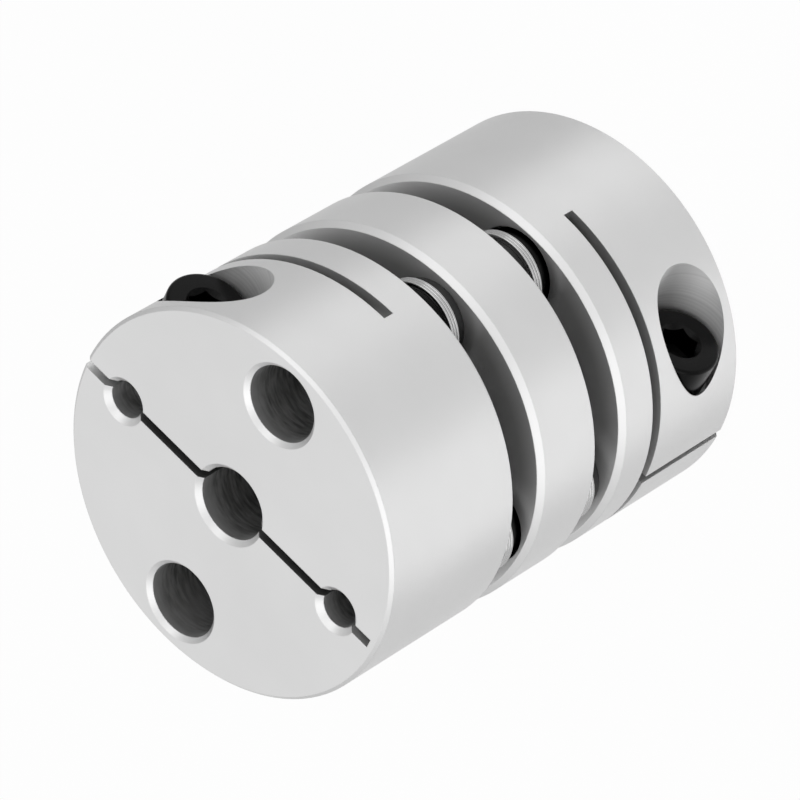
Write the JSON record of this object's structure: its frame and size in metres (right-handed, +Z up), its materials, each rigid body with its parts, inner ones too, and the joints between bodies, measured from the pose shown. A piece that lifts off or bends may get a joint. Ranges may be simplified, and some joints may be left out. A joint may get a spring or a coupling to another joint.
{
  "type": "double diaphragm coupling",
  "caption": "Zero-backlash shaft coupling: two slit clamp hubs joined to a centre spacer by packs of thin flexing steel leaves.",
  "frame": {"origin": "centre of the lower hub's end face, on the axis of rotation", "axes": "+Z up along the axis of rotation, towards the upper hub's end face; +X towards the open side of the upper hub's slit and its clamp screw; both clamp screw heads face -Y"},
  "size_m": [0.034, 0.034, 0.0445],
  "materials": {
    "hub_aluminium": "satin anodised",
    "leaf_steel": "bright rolled stainless",
    "collar_steel": "dark turned",
    "fastener_black": "black oxide"
  },
  "bodies": {
    "root": {"lower_hub": "hub_aluminium", "upper_hub": "hub_aluminium", "spacer": "hub_aluminium", "lower_leaf_1": "leaf_steel", "lower_leaf_2": "leaf_steel", "lower_leaf_3": "leaf_steel", "upper_leaf_1": "leaf_steel", "upper_leaf_2": "leaf_steel", "upper_leaf_3": "leaf_steel", "lower_hub_collars": "collar_steel", "lower_spacer_collars": "collar_steel", "upper_hub_collars": "collar_steel", "upper_spacer_collars": "collar_steel", "lower_hub_washers": "fastener_black", "lower_spacer_washers": "fastener_black", "upper_hub_washers": "fastener_black", "upper_spacer_washers": "fastener_black", "lower_hub_screws": "fastener_black", "lower_spacer_screws": "fastener_black", "upper_hub_screws": "fastener_black", "upper_spacer_screws": "fastener_black", "lower_clamp_screw": "fastener_black", "upper_clamp_screw": "fastener_black"}
  },
  "joints": []
}
